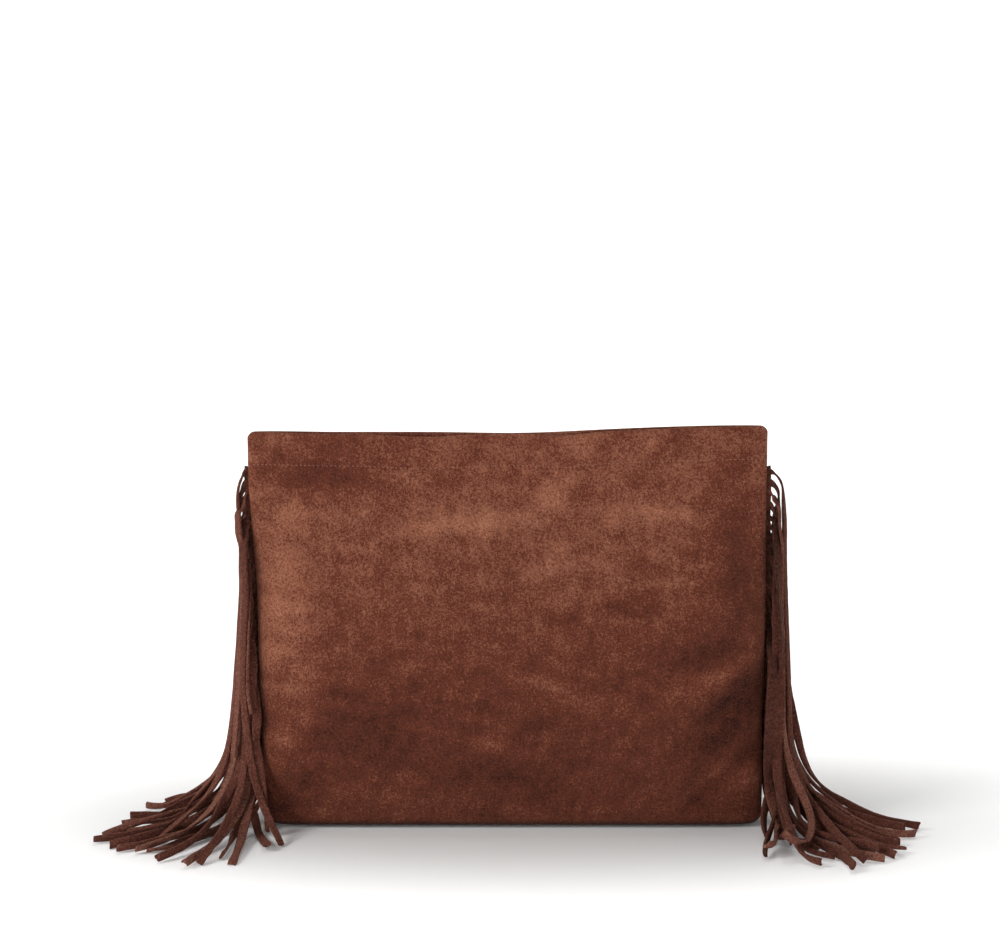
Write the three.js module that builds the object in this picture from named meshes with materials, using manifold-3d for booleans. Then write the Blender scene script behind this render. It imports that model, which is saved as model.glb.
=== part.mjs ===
// A fringed suede pouch bag. One piece of suede is folded under at the base and sewn up at both
// sides, with a comb-cut fringe caught in each side seam. The mouth has a turned-in hem that
// carries a magnetic snap, and a cloth lining hangs inside over a stiff base board.
//
// Millimetres, +Z up. The origin is the middle of the base, on the surface that the bag stands on.
// The front of the bag faces -Y, and its two fringes spread along -X and +X.

import * as THREE from "three";
import { mergeVertices } from "three/addons/utils/BufferGeometryUtils.js";
import Module from "manifold-3d";

const wasm = await Module();
wasm.setup();
const { Manifold, Mesh } = wasm;

// ---- Driving dimensions ------------------------------------------------------------------------

const HEIGHT = 240; // base to mouth
const MOUTH_HALF_LENGTH = 156; // the sewn width at the mouth is 312
const SUEDE = 1.3; // thickness of the hide
const FIT = 0.3; // the gap left between two pieces that touch
const BASE_ROLL = 8; // radius of the soft roll from wall to base
const BASE_HALF_DEPTH = 27;
const BELLY_HALF_DEPTH = 33;
const HEM_HALF_DEPTH = 8.2; // outside of the hem, away from the snap
const HEM_DEPTH = 22; // how far the hem is turned down inside
const HEM_GAP = 1.0; // room behind the turned hem, where the snap washers sit
const HEM_THICKNESS = 2 * SUEDE + HEM_GAP;
const LINING = 0.6; // thickness of the lining cloth
const LINING_SIDE_ROOM = 8.5; // the lining stops short of the side seam and its allowance
const BOARD = 2.0; // thickness of the base board

const SNAP_X = 8; // the snap sits a little right of the middle
const SNAP_DROP = 11.8; // below the top edge
const SNAP_RADIUS = 7;
const SNAP_HALF_DEPTH = 5.9; // outside of the hem where the snap holds it shut

const STRIPS = 28; // tails on each fringe
const STRIP_PITCH = 6.4;
const STRIP_WIDTH = 5.6;
const STRIP_THICKNESS = SUEDE - 0.06;
const FRINGE_TOP = 216.5; // upper end of the fringe in the side seam
const HEADER_IN = 5; // how far the uncut edge of the fringe goes into the seam
const HEADER_OUT = 2.5;

// ---- Helpers -----------------------------------------------------------------------------------

const smooth = (from, to, x) => {
  const t = Math.min(1, Math.max(0, (x - from) / (to - from)));
  return t * t * (3 - 2 * t);
};
const bell = (x, middle, width) => Math.exp(-(((x - middle) / width) ** 2));
const mix = (a, b, t) => a + (b - a) * t;

// A repeatable number from -1 to 1 for one strip.
const jitter = (strip, side) => {
  const wave = Math.sin(strip * 12.9898 + side * 37.719) * 43758.5453;
  return 2 * (wave - Math.floor(wave)) - 1;
};

// ---- The shape of the stuffed bag --------------------------------------------------------------
// A level is a height on the bag with a straight mouth. Each level is a super-ellipse: near the
// base it is almost a rectangle, and higher up its ends taper to the side seams.

const halfLength = (side, level) =>
  side < 0
    ? MOUTH_HALF_LENGTH - 5 * (1 - smooth(130, 215, level)) - 3 * (1 - smooth(0, 110, level))
    : MOUTH_HALF_LENGTH - 2 * (1 - smooth(0, 120, level));

const squareness = (level) =>
  3.2 + 5.8 * (1 - smooth(0, 70, level)) + 0.8 * smooth(190, 225, level);

const halfDepth = (x, level) => {
  const filled =
    BASE_HALF_DEPTH +
    (BELLY_HALF_DEPTH - BASE_HALF_DEPTH) * smooth(0, 60, level) -
    (BELLY_HALF_DEPTH - HEM_HALF_DEPTH) * smooth(100, 217, level);
  const pinch = bell(Math.max(0, Math.abs(x - SNAP_X) - 8), 0, 26) * smooth(170, 217, level);
  return filled - (filled - SNAP_HALF_DEPTH) * pinch;
};

// How far the mouth's edge stands above or below HEIGHT: two shallow dips in front, one behind.
const mouthRise = (x, face) => {
  const dips =
    face < 0
      ? 3.5 * bell(x, -50, 26) + 2.2 * bell(x, 33, 17) + 1.0 * bell(x, 0, 70)
      : 1.2 * bell(x, 0, 80);
  return 2.3 * smooth(40, 125, x) - dips;
};

const rollInset = (radius, above) =>
  above >= radius ? 0 : radius - Math.sqrt(radius ** 2 - (radius - Math.max(0, above)) ** 2);

// A point of the bag's wall at one of the stations below. face is -1 on the front and 1 on the
// back. inset moves the wall inwards, and endInset moves its two ends.
function wallPoint(station, face, level, inset = 0, endInset = inset) {
  const side = station < 0 ? -1 : 1;
  const reach = halfLength(side, level) - endInset;
  const beyond = Math.max(0, Math.abs(station) - FIXED_STATION);
  const stretch = (reach - FIXED_STATION) / (MOUTH_HALF_LENGTH - FIXED_STATION);
  const x = side * (Math.min(Math.abs(station), FIXED_STATION) + beyond * stretch);
  const across = x / reach;
  const power = squareness(level);
  const profile = Math.max(0, 1 - Math.abs(across) ** power) ** (1 / power);
  const y = face * (halfDepth(x, level) - inset) * profile;
  const z = level + mouthRise(x, face) * smooth(150, 236, level);
  return [x, y, z];
}

// ---- Closed surfaces from rings ----------------------------------------------------------------

// Places across the bag, in mm from the middle where the mouth is sewn to its full length. They
// are closer together at the snap and towards the side seams, where the wall turns.
const END_STATIONS = [112, 127, 139, 148, 153, 155.4, 156];
const STATIONS = [
  ...END_STATIONS.map((x) => -x).reverse(),
  ...[-92, -70, -50, -32, -14, SNAP_X - 8, SNAP_X + 8, 31, 50, 70, 92],
  ...END_STATIONS,
];
const FIXED_STATION = 92;

// One ring of points: along the front from seam to seam, then back along the rear.
function ring({ level, inset, endInset = inset }) {
  const front = STATIONS.map((s) => wallPoint(s, -1, level, inset, endInset));
  const back = STATIONS.slice(1, -1).reverse().map((s) => wallPoint(s, 1, level, inset, endInset));
  return [...front, ...back];
}

function geometryFrom(points, triangles) {
  const geometry = new THREE.BufferGeometry();
  geometry.setAttribute("position", new THREE.Float32BufferAttribute(points.flat(), 3));
  geometry.setIndex(triangles.flat());
  return geometry;
}

// A pocket-shaped solid: the rings start at the outside of the base, run up the outside, over the
// mouth and down the inside to the floor. The first and last rings are closed flat.
function pouchGeometry(rings) {
  const count = rings[0].length;
  const last = STATIONS.length - 1;
  const points = rings.flat();
  const triangles = [];
  for (let r = 0; r + 1 < rings.length; r++)
    for (let k = 0; k < count; k++) {
      const next = (k + 1) % count;
      const [a, b, c, d] = [r * count + k, r * count + next, (r + 1) * count + next, (r + 1) * count + k];
      triangles.push([a, b, c], [a, c, d]);
    }
  const closeFlat = (first, flip) => {
    const cap = (a, b, c) => triangles.push(flip ? [a, c, b] : [a, b, c]);
    for (let k = 0; k < last; k++) {
      const [frontA, frontB] = [first + k, first + k + 1];
      const backOf = (i) => (i === 0 ? first : i === last ? first + last : first + count - i);
      const [backA, backB] = [backOf(k), backOf(k + 1)];
      if (k > 0) cap(frontA, backA, frontB);
      if (k < last - 1 || k === 0) cap(frontB, backA, backB);
    }
  };
  closeFlat(0, false);
  closeFlat((rings.length - 1) * count, true);
  return geometryFrom(points, triangles);
}

// ---- Solids and booleans -----------------------------------------------------------------------

function toSolid(geometry, tolerance = 1e-4) {
  const bare = geometry.clone();
  bare.deleteAttribute("normal");
  bare.deleteAttribute("uv");
  const merged = mergeVertices(bare, tolerance);
  return new Manifold(
    new Mesh({
      numProp: 3,
      vertProperties: merged.attributes.position.array,
      triVerts: new Uint32Array(merged.index.array),
    }),
  );
}

function toGeometry(solid) {
  const mesh = solid.getMesh();
  const geometry = new THREE.BufferGeometry();
  geometry.setAttribute("position", new THREE.Float32BufferAttribute(mesh.vertProperties, 3));
  geometry.setIndex(new THREE.BufferAttribute(new Uint32Array(mesh.triVerts), 1));
  geometry.computeVertexNormals();
  return geometry;
}

// Only the outer skin of a solid. Tails that lie across each other can close off a small pocket
// of air, which is filled in.
function outerSkin(solid) {
  const geometry = toGeometry(toSolid(toGeometry(solid), 1e-3));
  const index = geometry.index.array;
  const parent = Array.from({ length: geometry.attributes.position.count }, (_, k) => k);
  const find = (k) => {
    while (parent[k] !== k) {
      parent[k] = parent[parent[k]];
      k = parent[k];
    }
    return k;
  };
  for (let t = 0; t < index.length; t += 3) {
    parent[find(index[t])] = find(index[t + 1]);
    parent[find(index[t + 1])] = find(index[t + 2]);
  }
  const sizes = new Map();
  for (let t = 0; t < index.length; t += 3) sizes.set(find(index[t]), (sizes.get(find(index[t])) ?? 0) + 1);
  const largest = [...sizes].sort((a, b) => b[1] - a[1])[0][0];
  const kept = [];
  for (let t = 0; t < index.length; t += 3)
    if (find(index[t]) === largest) kept.push(index[t], index[t + 1], index[t + 2]);
  geometry.setIndex(kept);
  return geometry;
}

const joined = (solids) => solids.reduce((whole, solid) => whole.add(solid));

const boxSolid = (width, depth, height, x, y, z) =>
  toSolid(new THREE.BoxGeometry(width, depth, height).translate(x, y, z));

// A disc or ring whose axis is Y, turned from an outline of [radius, y] points.
const turnedOnY = (outline, x, z, segments = 32) =>
  toSolid(
    new THREE.LatheGeometry(
      outline.map(([radius, y]) => new THREE.Vector2(radius, y)),
      segments,
    ).translate(x, 0, z),
  );

// ---- Materials ---------------------------------------------------------------------------------

const finish = (color, roughness, metalness = 0) =>
  new THREE.MeshStandardMaterial({ color, roughness, metalness });
const SUEDE_FINISH = finish(0x6b3f32, 0.95);
const LINING_FINISH = finish(0x4a3229, 0.9);
const BOARD_FINISH = finish(0x9b8a72, 0.9);
const NICKEL_FINISH = finish(0xb9b4a8, 0.3, 1);

const bag = new THREE.Group();
function addPiece(name, geometry, material) {
  const mesh = new THREE.Mesh(geometry, material);
  mesh.name = name;
  bag.add(mesh);
}

// ---- The fringe header in the side seam --------------------------------------------------------

const FRINGE_BOTTOM = FRINGE_TOP - STRIPS * STRIP_PITCH;
const seamX = (side, z) => side * halfLength(side, z);

// A thin upright sheet in the plane of the side seam, which follows the seam's line.
function seamSheet(side, inner, outer, halfThickness, bottom, top, steps = 8) {
  const points = [];
  for (let k = 0; k <= steps; k++) {
    const z = mix(bottom, top, k / steps);
    const x = seamX(side, z);
    for (const [out, y] of [[-inner, -1], [outer, -1], [outer, 1], [-inner, 1]])
      points.push([x + side * out, y * halfThickness, z]);
  }
  return sweptFour(points, side < 0);
}

// Joins sections of four points each into a closed bar.
function sweptFour(points, flip) {
  const triangles = [];
  const quad = (a, b, c, d) =>
    flip ? triangles.push([a, c, b], [a, d, c]) : triangles.push([a, b, c], [a, c, d]);
  const sections = points.length / 4;
  quad(3, 2, 1, 0);
  for (let s = 0; s + 1 < sections; s++)
    for (let k = 0; k < 4; k++) {
      const next = (k + 1) % 4;
      quad(4 * s + k, 4 * s + next, 4 * s + 4 + next, 4 * s + 4 + k);
    }
  const top = 4 * (sections - 1);
  quad(top, top + 1, top + 2, top + 3);
  return geometryFrom(points, triangles);
}

// ---- One fringe strip --------------------------------------------------------------------------
// The strips spread from the seam like a hand of cards. Each one belongs to a sector, the way it
// leaves the seam, and to a layer, its place in the stack of that sector. Strips from higher up
// hang further out and lie on top of the lower ones, so none of them cuts through another.

const SECTORS = 4;
const LAYERS = STRIPS / SECTORS;
const SECTOR_ORDER = [1, 3, 0, 2];
const FAN = { left: [-8, 94], right: [-2, 100] }; // degrees forward of straight out
const FIRST_RADIUS = 13.4; // from the seam to the innermost layer
const LAYER_STEP = 1.75;
const FLOOR_RUN = 72;
const FLOOR_RUN_VARIES = 5;
const FLOOR_GAP = 0.1;

// Within a sector every second direction lies on the floor, and the ones between lie over them.
const placeInSector = (layer, sector) => {
  const low = sector % 2 === 0 ? Math.ceil(LAYERS / 2) : Math.floor(LAYERS / 2);
  const onFloor = layer < low;
  const parity = (sector % 2 === 0) === onFloor ? 0 : 1;
  return { place: 2 * (onFloor ? layer : layer - low) + parity, onFloor };
};

function stripSections(strip, side) {
  const layer = LAYERS - 1 - Math.floor(strip / SECTORS);
  const sector = SECTOR_ORDER[strip % SECTORS];
  const { place, onFloor } = placeInSector(layer, sector);
  const [fanFrom, fanTo] = side < 0 ? FAN.left : FAN.right;
  const sectorAngle = mix(fanFrom, fanTo, (sector + 0.5) / SECTORS);
  const ownAngle = mix(fanFrom, fanTo, (sector + (place + 0.5) / LAYERS) / SECTORS);
  const [toSector, toOwn] = [sectorAngle, ownAngle].map(THREE.MathUtils.degToRad);
  const away = (angle) => [Math.cos(angle), Math.sin(angle)];

  const rootZ = FRINGE_TOP - STRIP_PITCH * (strip + 0.5);
  const radius = FIRST_RADIUS + LAYER_STEP * layer;
  const drop = Math.min(0.45 * rootZ, 24);
  const bend = 7;
  const stackZ = SUEDE / 2 + FLOOR_GAP + LAYER_STEP * layer;
  const endZ = SUEDE / 2 + FLOOR_GAP + (onFloor ? 0 : SUEDE + FIT);
  const run = FLOOR_RUN - 8 * (strip / STRIPS) + FLOOR_RUN_VARIES * jitter(strip, side);

  const sections = [];
  const add = (alongSector, alongOwn, z, angle, turn) => {
    const [sx, sy] = away(toSector);
    const [ox, oy] = away(toOwn);
    const out = HEADER_OUT + alongSector * sx + alongOwn * ox;
    sections.push({ out, ahead: alongSector * sy + alongOwn * oy, z, angle, turn });
  };
  sections.push({ out: HEADER_OUT - 2, ahead: 0, z: rootZ, angle: 0, turn: 0 });
  for (const share of [0.1, 0.32, 0.56, 0.78, 1]) {
    const quarter = (share * Math.PI) / 2;
    const along = radius * Math.sin(quarter);
    add(along, 0, rootZ - drop * (1 - Math.cos(quarter)), toSector, smooth(5, 13, along));
  }
  for (const share of [0, 0.36, 0.7, 1]) {
    const quarter = (share * Math.PI) / 2;
    const z = stackZ + bend * (1 - Math.sin(quarter));
    add(radius + bend * (1 - Math.cos(quarter)), 0, z, mix(toSector, toOwn, 0.5 * share), 1);
  }
  add(radius + bend, 40, stackZ, toOwn, 1);
  add(radius + bend, 62, endZ, toOwn, 1);
  add(radius + bend, run, endZ, toOwn, 1);
  return sections;
}

// The strip as a closed ribbon. Its width stands upright in the seam and turns level before it
// hangs, so that it shows its face to the way it will run.
function stripSolid(strip, side) {
  const sections = stripSections(strip, side);
  const centres = sections.map(
    ({ out, ahead, z }) => new THREE.Vector3(seamX(side, z) + side * out, -ahead, z),
  );
  const points = sections.flatMap(({ angle, turn }, k) => {
    const tangent = centres[Math.min(k + 1, centres.length - 1)].clone();
    tangent.sub(centres[Math.max(k - 1, 0)]).normalize();
    const level = new THREE.Vector3(side * Math.sin(angle), Math.cos(angle), 0);
    const width = new THREE.Vector3(0, 0, Math.cos((turn * Math.PI) / 2));
    width.addScaledVector(level, Math.sin((turn * Math.PI) / 2));
    width.addScaledVector(tangent, -width.dot(tangent)).setLength(STRIP_WIDTH / 2);
    const normal = tangent.cross(width).setLength(STRIP_THICKNESS / 2);
    return [[-1, -1], [1, -1], [1, 1], [-1, 1]].map(([w, n]) =>
      centres[k].clone().addScaledVector(width, w).addScaledVector(normal, n).toArray(),
    );
  });
  const solid = toSolid(sweptFour(points, false));
  return solid.volume() < 0 ? toSolid(sweptFour(points, true)) : solid;
}

function fringe(side) {
  const header = toSolid(seamSheet(side, HEADER_IN, HEADER_OUT, SUEDE / 2, FRINGE_BOTTOM, FRINGE_TOP));
  const strips = Array.from({ length: STRIPS }, (_, strip) => stripSolid(strip, side));
  return joined([header, ...strips]);
}

// ---- The suede body ----------------------------------------------------------------------------

const HEM_BOTTOM = HEIGHT - HEM_DEPTH;
const WALL_LEVELS = [16, 32, 52, 76, 104, 132, 156, 176, 194, 208];
const ROLL_SHARES = [0, 0.06, 0.22, 0.5, 1];

function suedeBody() {
  const fold = HEM_THICKNESS / 2;
  const outside = [
    ...ROLL_SHARES.map((s) => ({ level: s * BASE_ROLL, inset: rollInset(BASE_ROLL, s * BASE_ROLL) })),
    ...[...WALL_LEVELS, HEM_BOTTOM, HEIGHT - fold].map((level) => ({ level, inset: 0 })),
  ];
  const overTheTop = [45, 90, 135].map((degrees) => {
    const angle = THREE.MathUtils.degToRad(degrees);
    return { level: HEIGHT - fold * (1 - Math.sin(angle)), inset: fold * (1 - Math.cos(angle)) };
  });
  const turnedHem = [
    { level: HEIGHT - fold, inset: HEM_THICKNESS },
    { level: HEM_BOTTOM, inset: HEM_THICKNESS },
    { level: HEM_BOTTOM, inset: SUEDE + HEM_GAP },
    { level: HEIGHT - fold, inset: SUEDE + HEM_GAP },
    { level: HEIGHT - fold + HEM_GAP / 2, inset: fold },
    { level: HEIGHT - fold, inset: SUEDE },
  ];
  const innerRoll = BASE_ROLL - SUEDE;
  const inside = [
    ...[...WALL_LEVELS, HEM_BOTTOM].reverse().map((level) => ({ level, inset: SUEDE })),
    ...[...ROLL_SHARES].reverse().map((s) => ({
      level: SUEDE + s * innerRoll,
      inset: SUEDE + rollInset(innerRoll, s * innerRoll),
    })),
  ];
  return toSolid(pouchGeometry([...outside, ...overTheTop, ...turnedHem, ...inside].map(ring)));
}

// ---- The lining --------------------------------------------------------------------------------

const LINING_FLOOR = SUEDE + FIT + BOARD + FIT;
const LINING_ROLL = 8;

// The lining hangs from the lower edge of the turned hem, so its mouth lines up with the hem.
function liningGeometry() {
  const gather = (level) =>
    mix(LINING_SIDE_ROOM, HEM_THICKNESS - 1, smooth(HEM_BOTTOM - 3, HEM_BOTTOM, level));
  const slack = (level) => SUEDE + 3 * FIT + FIT * smooth(190, HEM_BOTTOM - FIT, level);
  const levels = [...WALL_LEVELS, HEM_BOTTOM - 3, HEM_BOTTOM - FIT];
  const skin = (offset) => {
    const radius = LINING_ROLL - offset;
    const roll = ROLL_SHARES.map((s) => ({
      level: LINING_FLOOR + offset + s * radius,
      inset: SUEDE + 3 * FIT + offset + rollInset(radius, s * radius),
      endInset: LINING_SIDE_ROOM + offset + rollInset(radius, s * radius),
    }));
    const wall = levels.map((level) => ({
      level,
      inset: slack(level) + offset,
      endInset: gather(level) + offset,
    }));
    return [...roll, ...wall];
  };
  return pouchGeometry([...skin(0), ...skin(LINING).reverse()].map(ring));
}

// ---- The base board ----------------------------------------------------------------------------

function boardGeometry() {
  const [halfX, halfY, corner] = [138, 18, 7];
  const shape = new THREE.Shape();
  const corners = [[1, 1], [-1, 1], [-1, -1], [1, -1]];
  corners.forEach(([sx, sy], quarter) => {
    const [x, y] = [3 + sx * (halfX - corner), sy * (halfY - corner)];
    shape.absarc(x, y, corner, (quarter * Math.PI) / 2, ((quarter + 1) * Math.PI) / 2, false);
  });
  const options = { depth: BOARD, bevelEnabled: false, curveSegments: 5 };
  return new THREE.ExtrudeGeometry(shape, options).translate(0, 0, SUEDE + FIT);
}

// ---- The magnetic snap -------------------------------------------------------------------------
// Each half sits on the turned hem. Its two prongs go through the hem and are held by a washer
// behind it. face is -1 for the socket in front and 1 for the stud behind.

const SNAP_Z = HEIGHT + mouthRise(SNAP_X, -1) - SNAP_DROP;
const HEM_INNER_Y = SNAP_HALF_DEPTH - HEM_THICKNESS; // the hem's inner face beside the snap
const SNAP_SEAT_Y = HEM_INNER_Y - FIT; // the back of each snap half
const WASHER = 0.4;
const WASHER_Y = HEM_INNER_Y + SUEDE + FIT; // the near face of each washer
const PRONG = { width: 0.8, height: 2.6, spread: 3.2 };

const prongBoxes = (face, grow, from, to) =>
  [-1, 1].map((way) =>
    boxSolid(
      PRONG.width + 2 * grow,
      to - from,
      PRONG.height + 2 * grow,
      SNAP_X + way * PRONG.spread,
      (face * (from + to)) / 2,
      SNAP_Z,
    ),
  );

function snapHalf(face, outline) {
  const facing = outline.map(([radius, y]) => [radius, face * y]);
  const disc = turnedOnY(face > 0 ? facing : facing.reverse(), SNAP_X, SNAP_Z);
  return joined([disc, ...prongBoxes(face, 0, SNAP_SEAT_Y - 0.4, WASHER_Y + WASHER)]);
}

// The socket is a shallow cup, and the stud has a boss that sits in it.
const SOCKET_RIM = -1.0;
const SOCKET_FLOOR = 0.4;
const BOSS_RADIUS = 2.6;
const snapSocket = () =>
  snapHalf(-1, [
    [0, SOCKET_FLOOR],
    [BOSS_RADIUS + FIT, SOCKET_FLOOR],
    [BOSS_RADIUS + FIT, SOCKET_RIM],
    [SNAP_RADIUS - 0.8, SOCKET_RIM],
    [SNAP_RADIUS, SOCKET_RIM + 0.6],
    [SNAP_RADIUS, SNAP_SEAT_Y],
    [0, SNAP_SEAT_Y],
  ]);
const snapStud = () =>
  snapHalf(1, [
    [0, -SOCKET_FLOOR + FIT],
    [BOSS_RADIUS - 0.2, -SOCKET_FLOOR + FIT],
    [BOSS_RADIUS, -SOCKET_FLOOR + FIT + 0.2],
    [BOSS_RADIUS, -SOCKET_RIM + FIT],
    [SNAP_RADIUS - 0.4, -SOCKET_RIM + FIT],
    [SNAP_RADIUS, -SOCKET_RIM + FIT + 0.2],
    [SNAP_RADIUS, SNAP_SEAT_Y],
    [0, SNAP_SEAT_Y],
  ]);

function snapWasher(face) {
  const [near, far] = [face * WASHER_Y, face * (WASHER_Y + WASHER)];
  const outline = [[0, near], [SNAP_RADIUS - 1, near], [SNAP_RADIUS - 1, far], [0, far]];
  const disc = turnedOnY(face > 0 ? outline : outline.reverse(), SNAP_X, SNAP_Z);
  const holes = prongBoxes(face, FIT, WASHER_Y - 1, WASHER_Y + WASHER + 1);
  return holes.reduce((solid, hole) => solid.subtract(hole), disc);
}

// ---- Assembly ----------------------------------------------------------------------------------

// The side seams stay open where the fringe header passes through, and the hem is pierced where
// the snap's prongs pass through.
const seamSlots = [-1, 1].map((side) =>
  toSolid(
    seamSheet(side, HEADER_IN + FIT, HEADER_OUT + 3, SUEDE / 2 + FIT, FRINGE_BOTTOM - FIT, FRINGE_TOP + FIT),
  ),
);
const prongHoles = [-1, 1].flatMap((face) =>
  prongBoxes(face, FIT, HEM_INNER_Y - 0.5, HEM_INNER_Y + SUEDE + 0.5),
);
const body = [...seamSlots, ...prongHoles].reduce((solid, cut) => solid.subtract(cut), suedeBody());

addPiece("suede_body", toGeometry(body), SUEDE_FINISH);
addPiece("fringe_left", outerSkin(fringe(-1)), SUEDE_FINISH);
addPiece("fringe_right", outerSkin(fringe(1)), SUEDE_FINISH);
addPiece("lining_bag", liningGeometry(), LINING_FINISH);
addPiece("base_board", boardGeometry(), BOARD_FINISH);
addPiece("snap_socket", toGeometry(snapSocket()), NICKEL_FINISH);
addPiece("snap_stud", toGeometry(snapStud()), NICKEL_FINISH);
addPiece("snap_socket_washer", toGeometry(snapWasher(-1)), NICKEL_FINISH);
addPiece("snap_stud_washer", toGeometry(snapWasher(1)), NICKEL_FINISH);

export default bag;
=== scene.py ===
# %% [markdown]
# # A fringed suede bag
#
# A flat pouch of reddish-brown suede stands on its folded base. One hide makes the front, the base
# and the back. A comb-cut fringe is caught in each side seam, hangs down beside the bag and spreads
# over the floor. The mouth is a turned hem with one row of stitches and a magnetic snap.
#
# Lengths are worked out in millimetres, because leather is cut in millimetres, and turned into
# metres when a mesh is made. Z is up, the front faces -Y and the origin is the middle of the base.

import math

import bpy
import numpy as np
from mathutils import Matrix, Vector


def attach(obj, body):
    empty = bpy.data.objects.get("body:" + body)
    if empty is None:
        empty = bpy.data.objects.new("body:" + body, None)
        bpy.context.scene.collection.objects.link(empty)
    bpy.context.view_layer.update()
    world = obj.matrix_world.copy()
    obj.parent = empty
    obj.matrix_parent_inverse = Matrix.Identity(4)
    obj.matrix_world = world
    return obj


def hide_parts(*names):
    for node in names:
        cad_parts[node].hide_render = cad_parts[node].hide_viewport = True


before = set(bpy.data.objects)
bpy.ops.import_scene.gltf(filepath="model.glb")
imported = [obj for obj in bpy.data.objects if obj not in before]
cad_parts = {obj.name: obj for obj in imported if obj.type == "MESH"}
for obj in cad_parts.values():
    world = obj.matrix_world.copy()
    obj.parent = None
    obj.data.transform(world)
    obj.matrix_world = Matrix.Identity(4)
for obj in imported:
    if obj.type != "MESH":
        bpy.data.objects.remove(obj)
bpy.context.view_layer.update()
MM = 0.001


def smooth(start, end, x):
    """0 before start, 1 after end, and an S-shaped step between them."""
    t = np.clip((x - start) / (end - start), 0, 1)
    return t * t * (3 - 2 * t)


def mix(a, b, t):
    """a at t = 0, b at t = 1, in a straight line between."""
    return a + (b - a) * t


def bell(x, middle, width):
    """The bell curve exp(-((x - middle) / width) squared)."""
    return np.exp(-(((x - middle) / width) ** 2))


def unit(v):
    """Vectors of length 1 along the last axis."""
    return v / np.maximum(np.linalg.norm(v, axis=-1, keepdims=True), 1e-9)


def waves(x, z, size, seed, count=28):
    """A soft random relief from -1 to 1 or so: many sine waves of about that size, in random
    directions and phases, added up."""
    random = np.random.default_rng(seed)
    angle = random.uniform(0, np.pi, count)
    length = size * random.uniform(0.7, 1.6, count)
    phase = random.uniform(0, 2 * np.pi, count)
    total = 0
    for a, l, p in zip(angle, length, phase):
        total = total + np.sin(2 * np.pi * (x * np.cos(a) + z * np.sin(a)) / l + p)
    return total / math.sqrt(count)


# %% [markdown]
# ## The shape of the stuffed bag
#
# The hide is a flat sheet sewn up at two sides, so each level of the bag is a flat tube. Near the
# base a board spreads it to a long rounded rectangle. Higher up the walls lean together, and its ends
# sharpen to the side seams. A super-ellipse, where |x|^p + |y|^p = 1, covers both: p is 9 at the base
# and about 3 above it. At the mouth the snap pinches the two walls together.

# %% Levels of the bag
HEIGHT, SUEDE, HEM_THICK, HEM_GAP, HEM_DEPTH = 240.0, 1.3, 3.6, 1.0, 22.0
BASE_ROLL = 8.0
ROLL_STRETCH = 1.45  # under the walls the fold is deeper than it is high
SNAP_X = 8.0


def half_length(side, level):
    """Half the sewn width, from the middle to the side seam."""
    left = 156 - 5 * (1 - smooth(130, 215, level)) - 3 * (1 - smooth(0, 110, level))
    right = 156 - 2 * (1 - smooth(0, 120, level))
    return np.where(side < 0, left, right)


def squareness(level):
    """The power p of the super-ellipse."""
    return 3.2 + 5.8 * (1 - smooth(0, 70, level)) + 0.8 * smooth(190, 225, level)


def half_depth(x, level):
    """From the bag's middle plane to its wall: full in the belly, flat at the hem, and pinched
    where the snap holds it."""
    filled = 27 + 6 * smooth(0, 60, level) - 24.8 * smooth(100, 217, level)
    pinch = bell(np.maximum(0, np.abs(x - SNAP_X) - 8), 0, 26) * smooth(170, 217, level)
    return filled - (filled - 5.9) * pinch


def mouth_rise(x, face):
    """How far the mouth's edge stands above or below its mean height. Each side of the snap the
    front sags a little, and the ends round off towards the seams."""
    dips = 1.8 * bell(x, -50, 26) + 1.9 * bell(x, 33, 17) if face < 0 else 0.5 * bell(x, 10, 40)
    corners = 1.6 * smooth(151.5, 156, np.abs(x)) ** 2
    return 4.2 * smooth(-10, 150, x) + 0.6 * smooth(-100, -145, x) - 3.3 - dips - corners


def roll_inset(radius, above):
    """How far a quarter-round corner of that radius is set in, at that height above its foot."""
    below = np.clip(radius - above, 0, radius)
    return radius - np.sqrt(radius**2 - below**2)


# %% [markdown]
# ## Folds and hollows
#
# Suede keeps the creases of how it was carried. A furrow is a line that is pressed in, a swelling is
# an oval that stands out, and soft random waves fill the rest. Each is given where it lies on the
# face, in millimetres across and up, and how far it moves the hide out.

# %% Relief of the two faces
# (from x, z) to (to x, z), half width, height
FRONT_FOLDS = [
    ((150, 104), (100, 74), 6.5, 2.6),
    ((156, 90), (106, 44), 7.5, -3.0),
    ((154, 72), (104, 28), 5.5, 2.4),
    ((156, 56), (114, 14), 6.5, -3.0),
    ((152, 36), (122, 22), 7.0, 1.8),
    ((-122, 168), (-111, 118), 8.0, 1.8),
    ((-111, 118), (-111, 82), 8.0, 1.8),
    ((-111, 82), (-134, 42), 7.0, 1.6),
    ((12, 94), (52, 74), 5.0, 1.0),
    ((16, 84), (44, 68), 5.0, -0.8),
    ((-148, 34), (-126, 18), 6.0, -1.6),
]
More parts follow.
